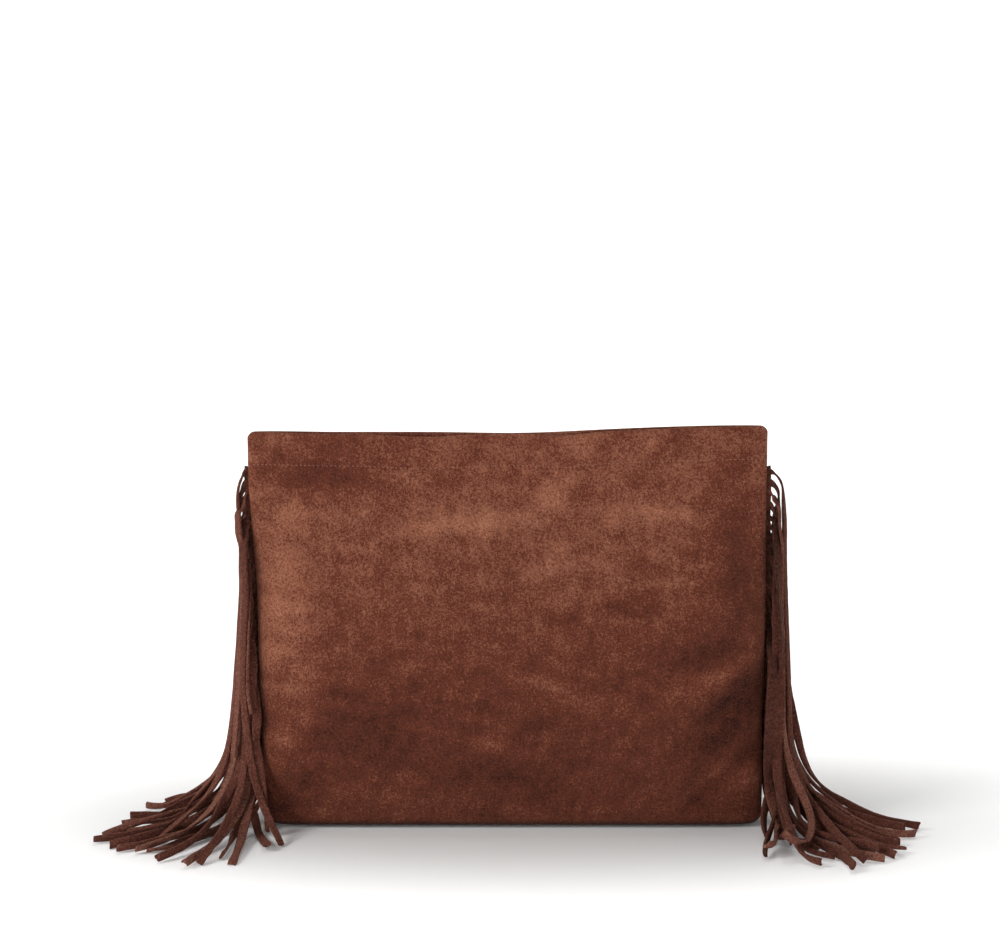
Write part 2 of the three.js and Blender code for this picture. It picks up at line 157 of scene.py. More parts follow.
# (x, z), (half width, half height), lean in degrees, height
FRONT_OVALS = [
    ((-18, 184), (30, 8), 0, 1.0),
    ((27, 198), (10, 9), 0, 0.7),
    ((86, 189), (24, 7), 0, 0.9),
    ((-112, 210), (30, 10), 0, -1.2),
    ((-128, 190), (8, 7), 0, 0.5),
    ((84, 134), (9, 8), 0, -0.7),
    ((60, 134), (9, 8), 0, -0.5),
    ((117, 108), (15, 11), 10, -1.4),
    ((-80, 55), (28, 16), 0, -1.0),
    ((-76, 22), (20, 10), 0, 0.7),
    ((-48, 22), (14, 10), 0, 0.5),
    ((36, 158), (22, 16), 0, 0.5),
    ((20, 24), (9, 8), 0, -0.7),
]
BACK_FOLDS = [
    ((-140, 90), (-90, 24), 9.0, -2.0),
    ((120, 180), (112, 60), 12.0, -1.2),
    ((-30, 110), (30, 84), 10.0, 0.8),
]
BACK_OVALS = [((60, 50), (36, 26), -10, -1.0), ((-60, 160), (40, 24), 0, 0.9)]


def fold(x, z, start, end, width, height):
    """A ridge or furrow along a line: a bell across the line, faded out past its two ends."""
    (x0, z0), (x1, z1) = start, end
    length = math.hypot(x1 - x0, z1 - z0)
    ux, uz = (x1 - x0) / length, (z1 - z0) / length
    along = (x - x0) * ux + (z - z0) * uz
    across = (z - z0) * ux - (x - x0) * uz + 0.06 * (along - length / 2) ** 2 / max(length, 1)
    fade = smooth(-0.35 * length, 0.15 * length, along) * (1 - smooth(0.85 * length, 1.3 * length, along))
    return height * bell(across, 0, width) * fade


def oval(x, z, centre, radii, lean, height):
    """A swelling or hollow: a bell over a leaning ellipse."""
    a = math.radians(lean)
    dx, dz = x - centre[0], z - centre[1]
    u = (dx * math.cos(a) + dz * math.sin(a)) / radii[0]
    w = (dz * math.cos(a) - dx * math.sin(a)) / radii[1]
    return height * np.exp(-(u**2) - w**2)


def relief(x, z, face):
    """How far the hide stands out of the plain shape, in mm."""
    folds, ovals, seed = (FRONT_FOLDS, FRONT_OVALS, 3) if face < 0 else (BACK_FOLDS, BACK_OVALS, 11)
    out = 0.45 * waves(x, z, 62, seed) + 0.20 * waves(x, 1.6 * z, 24, seed + 1)
    out = out + 0.06 * waves(x, z, 8, seed + 2)
    for f in folds:
        out = out + fold(x, z, *f)
    for o in ovals:
        out = out + oval(x, z, *o)
    hem = smooth(214, 220, z)
    return mix(out, 0.25 * out, hem) * smooth(2, 16, z)


# %% [markdown]
# ## Walls made of rings
#
# A wall is a stack of rings, each a closed line round the bag at one level. The points of a ring are
# evenly spaced along it, first over the front from seam to seam and then over the back. A surface
# through the rings is one grid, so the hide stays one piece as it does on the bench.

# %% Rings and surfaces
NEAR_SEAM = np.array([0, 0.5, 1.0, 1.6, 2.3, 3.2])  # finer steps where a ring turns at a seam


def ring_points(level, inset, end_inset, count, groove=0.0):
    """One ring as (2 count - 2) points. inset sets both walls in, end_inset sets the two ends in,
    and groove draws the side seams in further."""
    power = squareness(level)
    shares = np.linspace(0, 0.9, 160)
    heights = np.linspace((1 - 0.9**power) ** (1 / power), 0, 160)[1:]
    x_share = np.r_[shares, (1 - heights**power) ** (1 / power)]
    y_share = np.r_[(1 - shares**power) ** (1 / power), heights]
    halves = []
    for face in (-1, 1):
        parts = []
        for side in (-1, 1):
            x = side * (float(half_length(side, level)) - end_inset) * x_share
            depth = half_depth(x, level) - inset + smooth(0, 0.5, y_share) * relief(x, level, face)
            y = face * depth * y_share
            x = x - side * groove * bell(y, 0, 1.1)
            z = level + mouth_rise(x, face) * smooth(150, 236, level)
            line = np.stack([x, y, z], 1)
            parts.append(line[::-1] if side < 0 else line[1:])
        line = np.concatenate(parts)
        run = np.r_[0, np.cumsum(np.linalg.norm(np.diff(line[:, :2], axis=0), axis=1))]
        middle = np.linspace(4.4, run[-1] - 4.4, count - 2 * len(NEAR_SEAM))
        at = np.r_[NEAR_SEAM, middle, run[-1] - NEAR_SEAM[::-1]]
        halves.append(np.stack([np.interp(at, run, line[:, k]) for k in range(3)], 1))
    front, back = halves
    return np.concatenate([front, back[-2:0:-1]])


def grid_faces(index, wrap=False):
    """Four-sided faces of a grid of vertex numbers, rows by columns. wrap joins the last column
    to the first."""
    if wrap:
        index = np.concatenate([index, index[:, :1]], 1)
    quads = np.stack([index[:-1, :-1], index[:-1, 1:], index[1:, 1:], index[1:, :-1]], -1)
    return quads.reshape(-1, 4)


def make_mesh(name, points, quads, triangles=()):
    """An object from points in mm and faces, smooth all over."""
    quads = np.asarray(quads, np.int32).reshape(-1, 4)
    triangles = np.asarray(triangles, np.int32).reshape(-1, 3)
    mesh = bpy.data.meshes.new(name)
    mesh.vertices.add(len(points))
    mesh.vertices.foreach_set("co", (np.asarray(points) * MM).astype(np.float32).ravel())
    corners = np.r_[quads.ravel(), triangles.ravel()]
    mesh.loops.add(len(corners))
    mesh.loops.foreach_set("vertex_index", corners)
    mesh.polygons.add(len(quads) + len(triangles))
    starts = np.r_[np.arange(len(quads)) * 4, len(quads) * 4 + np.arange(len(triangles)) * 3]
    mesh.polygons.foreach_set("loop_start", starts.astype(np.int32))
    mesh.polygons.foreach_set("use_smooth", np.ones(len(starts), bool))
    mesh.update(calc_edges=True)
    made = bpy.data.objects.new(name, mesh)
    bpy.context.scene.collection.objects.link(made)
    print(f"{name}: {len(points)} points, {len(quads) * 2 + len(triangles)} triangles")
    return made


def close_flat(ring, first, start, count, rows=8):
    """A flat floor inside a ring whose points are numbered from first: a ladder between its front
    and back halves. New points are numbered from start. Its faces look up."""
    total = len(ring)
    front = np.arange(count)
    back = np.r_[0, np.arange(total - 1, count - 1, -1), count - 1]
    shares = np.linspace(0, 1, rows + 1)[1:-1, None, None]
    inner = mix(ring[front][None, 1:-1], ring[back][None, 1:-1], shares)
    index = np.empty((rows + 1, count), int)
    index[0], index[-1] = first + front, first + back
    index[:, 0], index[:, -1] = first, first + count - 1
    index[1:-1, 1:-1] = start + np.arange(inner[..., 0].size).reshape(rows - 1, count - 2)
    left = np.stack([index[:-1, 0], index[:-1, 1], index[1:, 1]], 1)
    right = np.stack([index[:-1, -1], index[1:, -2], index[:-1, -2]], 1)
    return inner.reshape(-1, 3), grid_faces(index[:, 1:-1]), np.concatenate([left, right])


def pouch(name, rings, count):
    """A bag-shaped solid through rings that run from the outside of its base up over the mouth and
    down inside to its floor. Each ring is (level, inset, end inset, groove)."""
    points = [ring_points(*ring[:3], count, ring[3]) for ring in rings]
    total = 2 * count - 2
    wall = grid_faces(np.arange(len(rings) * total).reshape(len(rings), total), wrap=True)
    start = len(rings) * total
    under, under_quads, under_ends = close_flat(points[0], 0, start, count)
    floor, floor_quads, floor_ends = close_flat(points[-1], start - total, start + len(under), count)
    quads = np.concatenate([wall, under_quads[:, ::-1], floor_quads])
    ends = np.concatenate([under_ends[:, ::-1], floor_ends])
    return make_mesh(name, np.concatenate([*points, under, floor]), quads, ends)


# %% [markdown]
# ## The suede body
#
# From outside: the soft roll where the hide folds under, the wall, and the mouth, where the hide is
# turned over and comes down again inside as the hem. Its cut edge hangs free behind the stitches. The
# thread pulls a fine furrow along its line, and the double hide stands out a little above it.

# %% Suede body
STITCH_DROP = 19.5
stitch_level = HEIGHT - STITCH_DROP
roll_shares = np.array([0, 0.015, 0.06, 0.14, 0.25, 0.4, 0.58, 0.78, 1.0])


def outer_inset(level):
    """The stitch line's furrow and the hem's extra thickness."""
    return 0.42 * bell(level, stitch_level, 0.75) - 0.25 * smooth(215.5, 219, level)


def suede_rings():
    """(level, inset, end inset, groove) from the base, over the mouth and down inside."""
    rings = []
    for level in roll_shares * BASE_ROLL:
        inset = roll_inset(BASE_ROLL, level)
        rings.append((level, ROLL_STRETCH * inset, inset, 0))
    near_stitch = stitch_level + np.array([-2, -1.4, -0.9, -0.5, -0.2, 0.1, 0.4, 0.8, 1.3, 1.9])
    plain = np.arange(10, 238, 2.0)
    plain = plain[np.abs(plain - stitch_level) > 2.2]
    for level in np.sort(np.r_[plain, near_stitch]):
        groove = 1.1 * smooth(8, 20, level) * (1 - smooth(228, 238, level))
        rings.append((level, outer_inset(level), 0, groove))
    fold = HEM_THICK / 2
    for angle in np.radians(np.arange(0, 181, 15)):
        inset = fold * (1 - math.cos(angle))
        rings.append((HEIGHT - fold * (1 - math.sin(angle)), inset - 0.25 * math.cos(angle / 2), inset, 0))
    low = HEIGHT - HEM_DEPTH
    for level in np.linspace(HEIGHT - fold - 2, low + 0.4, 9):
        rings.append((level, HEM_THICK, HEM_THICK, 0))
    gap = SUEDE + HEM_GAP
    rings += [(low, HEM_THICK - 0.3, HEM_THICK - 0.3, 0), (low, gap + 0.3, gap + 0.3, 0)]
    for level in np.linspace(low + 0.4, HEIGHT - fold, 4):
        rings.append((level, gap, gap, 0))
    rings.append((HEIGHT - fold + HEM_GAP / 2, fold, fold, 0))
    for level in np.r_[HEIGHT - fold, np.linspace(low, 16, 26)]:
        rings.append((level, SUEDE, SUEDE, 0))
    inner = BASE_ROLL - SUEDE
    for level in (roll_shares * inner)[::-2]:
        inset = roll_inset(inner, level)
        rings.append((SUEDE + level, SUEDE + ROLL_STRETCH * inset, SUEDE + inset, 0))
    return rings


suede_body = pouch("suede_body_skin", suede_rings(), 190)

# %% [markdown]
# ## The lining
#
# A thin cloth pouch, hung from the lower edge of the hem. It follows the shape of the walls a little
# inside them, and stands clear of the hide.

# %% Lining
LINING, LINING_FLOOR, LINING_SIDE = 0.6, 3.9, 8.5


def lining_rings():
    """(level, inset, end inset, groove): the outside of the cloth going up, then the inside."""
    rings = []
    for offset, order in ((0, 1), (LINING, -1)):
        radius = 8 - offset
        skin = []
        for level in roll_shares[::2] * radius:
            inset = 2.2 + offset + roll_inset(radius, level)
            skin.append((LINING_FLOOR + offset + level, inset, inset - 2.2 + LINING_SIDE, 0))
        for level in np.linspace(16, 217.6, 40):
            to_hem = smooth(190, 217.6, level)
            side = mix(LINING_SIDE, HEM_THICK - 1, smooth(214, 217.6, level))
            skin.append((level, 2.2 + 0.3 * to_hem + offset, side + offset, 0))
        rings += skin[::order]
    return rings


lining = pouch("lining_cloth", lining_rings(), 150)

# %% [markdown]
# ## The hem's stitches
#
# One row of lockstitch in thread a shade lighter than the hide, each stitch 1.5 mm long and leaning
# a little. A stitch is a short capsule that dives into the hide at both ends, so each is a bent rod of
# a few faces. They are copied along the line by arrays: one stitch's points, turned to each place's
# own directions.

# %% Stitches
def stitch_row(name, face):
    """Capsules along the hem on one face, every 2.6 mm."""
    pitch, length, radius = 2.6, 1.5, 0.24
    ring = ring_points(stitch_level, outer_inset(stitch_level), 0, 400)
    line = ring[:400] if face < 0 else np.concatenate([ring[399:], ring[:1]])[::-1]
    run = np.r_[0, np.cumsum(np.linalg.norm(np.diff(line, axis=0), axis=1))]
    at = np.arange(7, run[-1] - 7, pitch)
    random = np.random.default_rng(21 + face)
    at = at + random.normal(0, 0.08, len(at))
    spot = np.stack([np.interp(at, run, line[:, k]) for k in range(3)], 1)
    ahead = np.stack([np.interp(at + 1, run, line[:, k]) for k in range(3)], 1)
    along = unit(ahead - spot)
    out = unit(np.cross(along, [0, 0, 1.0]))
    out = np.where((out[:, 1:2] * face) < 0, -out, out)
    across = np.cross(along, out)
    lean = random.normal(0.35, 0.12, len(at))[:, None]
    along = unit(along + lean * across)
    t = np.linspace(-1, 1, 7)
    swell = np.sqrt(np.clip(1 - np.abs(t) ** 3, 0.0, 1)) * radius
    swell[[0, -1]] = 0.04
    turn = np.arange(6) * np.pi / 3
    shape_along = np.repeat(t * length / 2, 6)
    shape_out = (0.10 * (1 - t**2) - 0.22 * t**4)[:, None] + swell[:, None] * np.cos(turn)
    shape_across = swell[:, None] * np.sin(turn)
    points = (
        spot[:, None]
        + along[:, None] * shape_along[None, :, None]
        + out[:, None] * shape_out.reshape(1, -1, 1)
        + across[:, None] * shape_across.reshape(1, -1, 1)
    )
    side_quads = grid_faces(np.arange(42).reshape(7, 6), wrap=True)
    caps = np.array([[3, 2, 1, 0], [5, 4, 3, 0], [36, 37, 38, 39], [36, 39, 40, 41]])
    quads = np.concatenate([side_quads, caps])
    first = 42 * np.arange(len(at))[:, None, None]
    turned = np.linalg.det(np.stack([along[0], out[0], across[0]])) < 0
    quads = (quads[:, ::-1] if turned else quads)[None] + first
    return make_mesh(name, points.reshape(-1, 3), quads.reshape(-1, 4))


stitches = [stitch_row("hem_stitches_front", -1), stitch_row("hem_stitches_back", 1)]

# %% [markdown]
# ## The fringes
#
# Each fringe is one strip of hide cut into a comb: 28 tails, each about 6 mm wide, left joined along
# the edge that is sewn into the seam. A tail leaves the seam standing on edge. It cannot bend that
# way, so it first turns its flat to the fall and then arches down. Tails from higher up pass outside
# the lower ones, side by side in five lanes. On the floor each runs out in its own direction.
#
# First each tail is laid along a plain route. Then it is let go: it is a ladder of short rungs that
# keep their lengths, and it falls, bends, slides and piles up until it is almost still. Leather has a
# set from how it hung before, so the upper part is drawn a little towards its laid route.

# %% Routes of the tails
TAILS, PITCH, COMB_TOP, TAIL_WIDTH = 28, 6.4, 216.5, 5.4
LANES = [2, 0, 3, 1, 4]  # the lane that each tail takes, in turn, from the top
ARCH_RUNGS, ARCH_STEP, RUNG, HELD = 9, 2.4, 4.8, 4
# how each fringe lies, left and right. lanes: how far ahead of the seam the first and the last lane
# hang. clear, crowd: how far out a tail hangs, and how far each tail below pushes it. spread: where
# the ends lie on the floor, as degrees forward of straight out and the distance from the seam's foot.
LIE = {
    -1: dict(lanes=(-10, 15), clear=3.4, crowd=1.5, touch=(17, 46), curl=0.014, roll=50,
             spread=((-14, 5, 25, 60, 76, 90, 104), (66, 78, 96, 96, 94, 70, 46))),
    1: dict(lanes=(-12, 15), clear=4.4, crowd=1.4, touch=(15, 42), curl=0.024, roll=60,
            spread=((24, 36, 56, 75, 86, 98), (88, 98, 104, 98, 76, 46))),
}
# (side, tail): the share of its length that a tail torn or cut short keeps
SHORT = {(-1, 2): 0.72, (-1, 9): 0.5, (-1, 14): 0.8, (1, 4): 0.6, (1, 12): 0.7, (1, 17): 0.8}
# (side, tail): how far a loose tail stands out and ahead half way down
LOOSE = {(1, 14): (-7, 16), (-1, 19): (-3, 9)}


def spline(knots, count):
    """A smooth line that follows a list of points without its corners: a cubic B-spline."""
    held = np.concatenate([knots[:1], knots[:1], knots, knots[-1:], knots[-1:]])
    at = np.linspace(0, len(held) - 3 - 1e-9, count)
    k = at.astype(int)
    t = (at - k)[:, None]
    weights = ((1 - t) ** 3, 3 * t**3 - 6 * t**2 + 4, -3 * t**3 + 3 * t**2 + 3 * t + 1, t**3)
    return sum(w * held[k + n] for n, w in enumerate(weights)) / 6


def tail_route(side, tail, random):
    """One tail as the middle of its rungs (out from the seam, ahead, up), the way each rung's width
    points, the distance to the next rung, and how far each rung leans from level."""
    lie = LIE[side]
    lane, layer = LANES[tail % 5], tail // 5
    root = COMB_TOP - PITCH * (tail + 0.5)
    outer = 1 - tail / (TAILS - 1)
    share = (lane + ((2 * layer + lane) % 6 + 0.5) / 6) / 5
    degrees, distances = lie["spread"]
    own = mix(degrees[0], degrees[-1], share) + random.normal(0, 4)
    reach = np.interp(own, degrees, distances) - random.choice([0, 8, 24], p=[0.55, 0.25, 0.2])
    own = math.radians(own)
    ahead = mix(*lie["lanes"], lane / 4) + random.normal(0, 0.8)
    clear = lie["clear"] + (4.5 if side > 0 else 1.0) * max(0, 1 - tail / 4) - (1.2 if lane < 2 else 0)
    touch = mix(*lie["touch"], outer) + random.normal(0, 3)
    touch = min(touch, 0.62 * reach)
    reach += random.normal(0, 4)
    landing = touch * np.array([math.cos(own), math.sin(own)])
    heading = landing / touch
    loose = LOOSE.get((side, tail), (0, 0))
    bed = SUEDE / 2 + 1.4 * (5 - layer)

    def hanging(height):
        """Where the tail hangs: pushed out by each lower tail that it has passed, and flaring."""
        fall = root - height
        passed = np.clip(fall / (5 * PITCH), 0, (TAILS - 1 - tail) / 5)
        bump = 1.4 * bell(fall, 9, 7) * (tail < TAILS - 1)
        middle = bell(height, 60, 40)
        out = clear + lie["crowd"] * passed + bump + loose[0] * middle
        place = np.array([out, ahead * float(smooth(0, 26, fall)) + loose[1] * middle])
        flare = max(0.0, 1 - height / 150) ** 2.6
        return [*mix(place, landing, flare), height]

    drop = min(9.0, 0.2 * root)
    heights = np.r_[root - drop, root - 2 * drop, np.linspace(root - 3 * drop, bed + 12, 6)]
    run_out = [(0.25, bed), (0.6, mix(bed, SUEDE / 2, 0.5)), (0.85, SUEDE / 2), (1.0, SUEDE / 2)]
    swerve = random.normal(0, 3.5, 4).cumsum()
    sideways = np.array([-heading[1], heading[0]])
    floor_knots = [
        [*(mix(touch, reach, t) * heading + swerve[k] * (t > 0.3) * sideways), z]
        for k, (t, z) in enumerate(run_out)
    ]
    knots = [[-2.0, 0, root], [0.2, 0, root], [0.6 * clear, 0, root - 0.4]]
    knots += [hanging(z) for z in heights] + [[*(landing * 0.97), bed + 2.5]] + floor_knots
    line = spline(np.array(knots, float), 500)
    run = np.r_[0, np.cumsum(np.linalg.norm(np.diff(line, axis=0), axis=1))]
    length = run[-1] * SHORT.get((side, tail), 1)
    rest = length - ARCH_RUNGS * ARCH_STEP
    steps = np.r_[np.full(ARCH_RUNGS, ARCH_STEP), np.full(round(rest / RUNG), rest / round(rest / RUNG))]
    along = np.r_[0, steps.cumsum()]
    centre = np.stack([np.interp(along, run, line[:, k]) for k in range(3)], 1)
    tangent = unit(np.gradient(centre, axis=0))
    turned = smooth(0.5, 8, along) * np.pi / 2
    to_lane = math.atan2(ahead, 14)
    curtain = (0.95, 10) if lane < 2 else (0.45, 28)
    facing = mix(to_lane, np.pi / 2, curtain[0]) + math.radians(random.normal(0, curtain[1]))
    angle = mix(to_lane, facing, smooth(4, 40, along))
    angle = mix(angle, own, 1 - smooth(4, 40, centre[:, 2]))
    level = np.stack([-np.sin(angle), np.cos(angle), 0 * angle], 1)
    width = level * np.sin(turned)[:, None] + np.array([0, 0, 1.0]) * np.cos(turned)[:, None]
    width = unit(width - tangent * (width * tangent).sum(1, keepdims=True))
    on_floor = 1 - smooth(2, 26, centre[:, 2])
    lean = math.radians(lie["roll"]) * random.normal() * on_floor
    lean = lean + math.radians(25) * on_floor * np.sin(along / random.uniform(6, 14) + random.uniform(0, 6))
    lean = np.clip(lean, -1.4, 1.4)
    normal = np.cross(tangent, width)
    width = width * np.cos(lean)[:, None] + normal * np.sin(lean)[:, None]
    return centre, width, np.r_[steps, steps[-1]], np.where(on_floor > 0.3, lean, np.nan)


def lay_tails(seed=7):
    """Both fringes as ladders: points[edge, tail, rung], and what each tail is like."""
    random = np.random.default_rng(seed)
    keys = [(side, tail) for side in (-1, 1) for tail in range(TAILS)]
    routes = [tail_route(side, tail, random) for side, tail in keys]
    rungs = np.array([len(route[0]) for route in routes])
    most = rungs.max()
    tails = dict(
        side=np.array([side for side, tail in keys]),
        width=TAIL_WIDTH + random.normal(0, 0.3, len(keys)),
        real=np.arange(most)[None] < rungs[:, None],
        rungs=rungs,
    )
    points = np.zeros((2, len(keys), most, 3))
    curl, lean = np.zeros((len(keys), most)), np.full((len(keys), most), np.nan)
    step = np.full((len(keys), most), RUNG)
    for n, (centre, width, steps, leans) in enumerate(routes):
        for edge, way in ((0, -0.5), (1, 0.5)):
            points[edge, n, : rungs[n]] = centre + way * width * tails["width"][n]
            points[edge, n, rungs[n] :] = points[edge, n, rungs[n] - 1]
        share = np.linspace(0, 1, rungs[n])
        wander = 0.35 * np.sin(np.pi * share * random.uniform(1, 4) + random.uniform(0, 6))
        hook = 1.5 * random.normal() * smooth(0.76, 1, share)
        curl[n, : rungs[n]] = LIE[keys[n][0]]["curl"] * (random.normal() * wander + hook)
        step[n, : rungs[n]], lean[n, : rungs[n]] = steps, leans
    tails.update(step=step, curl=curl, rolled=np.isfinite(lean), height=np.sin(np.nan_to_num(lean)))
    return points, tails


# %% [markdown]
# ### Letting them go
#
# Each step every point keeps most of its last movement and falls a little. Then the rules are
# applied in turn: rungs and side rails keep their lengths, a rail bends only softly and towards its
# own curl, a stiff end keeps its roll, two tails cannot share a place, none enters the bag or the
# floor, and what touches the floor hardly slides. Tails are taken as rows of flat little boxes, each
# 1.3 mm thick, and two boxes part along whichever face needs the smallest move.

# %% Relaxing the tails
def keep_length(a, b, rest, free_a, free_b, here, stiffness=1.0):
    """How far a and b move to be rest apart. free is 0 for a point that is held."""
    gap = b - a
    length = np.sqrt((gap**2).sum(-1)) + 1e-9
    free = np.maximum(free_a + free_b, 1e-9)
    share = np.where(here, stiffness * (length - rest) / length / free, 0)[..., None] * gap
    return share * free_a[..., None], share * free_b[..., None]


def directions(points):
    """Centre, tangent, width and face directions of every rung."""
    centre = points.mean(0)
    tangent = np.zeros_like(centre)
    tangent[:, 1:-1] = centre[:, 2:] - centre[:, :-2]
    tangent[:, 0], tangent[:, -1] = centre[:, 1] - centre[:, 0], centre[:, -1] - centre[:, -2]
    tangent = np.where(np.abs(tangent).sum(-1, keepdims=True) < 1e-6, [0, 0, 1.0], tangent)
    tangent = unit(tangent)
    face = unit(np.cross(tangent, points[1] - points[0]))
    return centre, tangent, np.cross(face, tangent), face


def near_pairs(centre, tails, distance=6.9):
    """Numbers of the rungs of different tails that lie near each other."""
    count = centre.shape[1]
    found = []
    for side in (-1, 1):
        who = np.argwhere(tails["real"] & (tails["side"][:, None] == side) & (np.arange(count) >= 2))
        c = centre[who[:, 0], who[:, 1]].astype(np.float32)
        square = (c**2).sum(1)
        apart = square[:, None] + square[None] - 2 * c @ c.T
        i, j = np.nonzero(apart < distance**2)
        keep = (i < j) & (who[i, 0] != who[j, 0])
        number = who[:, 0] * count + who[:, 1]
        found.append(np.stack([number[i[keep]], number[j[keep]]]))
    return np.concatenate(found, 1)


def part_tails(points, pairs, free, tails):
    """Moves apart the rungs whose boxes share a place. Says which rungs touch."""
    centre, tangent, width, face = (v.reshape(-1, 3) for v in directions(points))
    i, j = pairs
    half_width = np.repeat(tails["width"] / 2, points.shape[2])
    half_step = tails["step"].ravel() / 2
    gap = centre[j] - centre[i]
    least = np.full(len(i), 1e9)
    way = np.zeros((len(i), 3))
    touching = np.ones(len(i), bool)
    for number, axis in enumerate((face[i], face[j], width[i], width[j], tangent[i], tangent[j])):
        room = 0
        for k in (i, j):
            room = room + (SUEDE / 2 + 0.08) * np.abs((face[k] * axis).sum(1))
            room = room + half_width[k] * np.abs((width[k] * axis).sum(1))
            room = room + half_step[k] * np.abs((tangent[k] * axis).sum(1))
        reach = (gap * axis).sum(1)
        overlap = room - np.abs(reach)
        touching &= overlap > 0
        if number < 4:
            better = overlap < least
            least = np.where(better, overlap, least)
            way = np.where(better[:, None], axis * np.sign(reach)[:, None], way)
    push = 0.5 * np.where(touching, least, 0)[:, None] * way
    total = free.size
    flat = free.ravel()
    share = flat[j] / np.maximum(flat[i] + flat[j], 1e-9)
    touches = np.bincount(i, touching, total) + np.bincount(j, touching, total)
    moved = [
        np.bincount(j, push[:, k] * share, total) - np.bincount(i, push[:, k] * (1 - share), total)
        for k in range(3)
    ]
    moved = np.stack(moved, 1) / np.maximum(1, 0.5 * touches)[:, None]
    return points + moved.reshape(1, *free.shape, 3), (touches > 0).reshape(free.shape)


def clear_bag(points, free, tails):
    """Pushes points out of the bag. Each level is the super-ellipse, and a point inside moves
    along its outward direction."""
    side = tails["side"][:, None]
    level = np.clip(points[..., 2], 0, HEIGHT)
    seam = half_length(side, level)
    x, y = seam + points[..., 0], points[..., 1]
    power = squareness(level)
    end = seam + SUEDE / 2 + 0.3
    depth = half_depth(side * np.minimum(x, seam), level) + SUEDE / 2 + 1.2
    a, b = np.clip(np.abs(x) / end, 0, 1.5), np.clip(np.abs(y) / depth, 0, 1.5)
    size = np.maximum(a**power + b**power, 1e-6) ** (1 / power)
    gx = size ** (1 - power) * a ** (power - 1) / end
    gy = size ** (1 - power) * b ** (power - 1) / depth * np.sign(y)
    steep = np.sqrt(gx**2 + gy**2) + 1e-6
    move = np.where((size < 1) & (x > 60) & (free > 0), np.clip((1 - size) / steep, 0, 2), 0)
    points[..., 0] += move * gx / steep
    points[..., 1] += move * gy / steep
    return points


def relax(points, tails, steps, gravity=1.0, tick=1 / 600):
    """Lets the tails settle and returns their points."""
    real, step, width = tails["real"], tails["step"], tails["width"][:, None]
    free = real.astype(float)
    free[:, :HELD] = 0
    diagonal = np.sqrt(step**2 + width**2)
    both = real[:, 1:] & real[:, :-1]
    inner = (real[:, 2:] & real[:, :-2])[..., None]
    softness = np.where(np.arange(step.shape[1]) < ARCH_RUNGS + 2, 0.06, 0.3)[None, 1:-1, None]
    rest_curl = (tails["curl"] * step**2 / 2)[:, 1:-1, None]
    high = tails["height"] * width
    laid = points.copy()
    stay = 0.03 * (smooth(25, 110, laid.mean(0)[..., 2:]) * free[..., None])
    before = points.copy()
    for n in range(steps):
        moved = (points - before) * 0.97
        speed = np.sqrt((moved**2).sum(-1, keepdims=True))
        moved *= np.minimum(1, 1.0 / np.maximum(speed, 1e-9))
        before = points.copy()
        points = points + (moved - np.array([0, 0, gravity * tick**2 * 1000])) * free[None, ..., None]
        for _ in range(4):
            for first in (0, 1):
                k = np.arange(first, points.shape[2] - 1, 2)
                for edge, other, rest, stiffness in ((0, 0, step, 1), (1, 1, step, 1),
                                                     (0, 1, diagonal, 0.7), (1, 0, diagonal, 0.7)):
                    a, b = keep_length(points[edge][:, k], points[other][:, k + 1], rest[:, k],
                                       free[:, k], free[:, k + 1], both[:, k], stiffness)
                    points[edge][:, k] += a
                    points[other][:, k + 1] -= b
            a, b = keep_length(points[0], points[1], width, free, free, real)
            points[0] += a
            points[1] -= b
            off = 0.06 * np.where(tails["rolled"], points[1, ..., 2] - points[0, ..., 2] - high, 0) * free
            points[0, ..., 2] += off
            points[1, ..., 2] -= off
            face = directions(points)[3]
            for edge in (0, 1):
                p = points[edge]
                off = (p[:, :-2] + p[:, 2:]) / 2 - p[:, 1:-1] - rest_curl * face[:, 1:-1]
                off = np.where(inner, off, 0) * softness
                change = np.zeros_like(p)
                change[:, 1:-1] += 0.5 * off
                change[:, :-2] -= 0.25 * off
                change[:, 2:] -= 0.25 * off
                points[edge] += change * free[..., None]
        if n % 12 == 0:
            pairs = near_pairs(points.mean(0), tails)
        points, touch = part_tails(points, pairs, free, tails)
        drag = np.where(touch, 0.06, 0)[None, ..., None]
        points -= drag * (points - before) * free[None, ..., None]
        points += stay * (laid - points)
        points = clear_bag(points, free[None], tails)
        held = (free > 0)[None]
        points[..., 2] = np.where(held, np.maximum(points[..., 2], SUEDE / 2), points[..., 2])
        low = (held & (points[..., 2] < SUEDE / 2 + 0.15))[..., None]
        points[..., :2] = np.where(low, mix(before[..., :2], points[..., :2], 0.4), points[..., :2])
    length = np.linalg.norm(np.diff(points.mean(0), axis=1), axis=-1) / step[:, :-1]
    print(f"tails after {steps} steps: stretched to {length[both].mean():.3f} of their length,",
          f"{pairs.shape[1]} close pairs")
    return points


tail_points, tails = lay_tails()
tail_points = relax(tail_points, tails, 400)

# %% [markdown]
# ### The fringe as one piece
#
# Every tail is swept from its ladder: a rounded flat section, 1.3 mm thick and a little cupped, with
# edges that waver slightly as cut suede does, and an end that was snipped aslant. The joined edge of
# the comb is a narrow band that goes into the seam.

# %% Fringe meshes
SECTION = np.array(
    [[-0.5, -0.22], [-0.47, -0.46], [-0.25, -0.5], [0.25, -0.5], [0.47, -0.46],
     [0.5, -0.22], [0.5, 0.22], [0.47, 0.46], [0.25, 0.5], [-0.25, 0.5], [-0.47, 0.46], [-0.5, 0.22]]
)


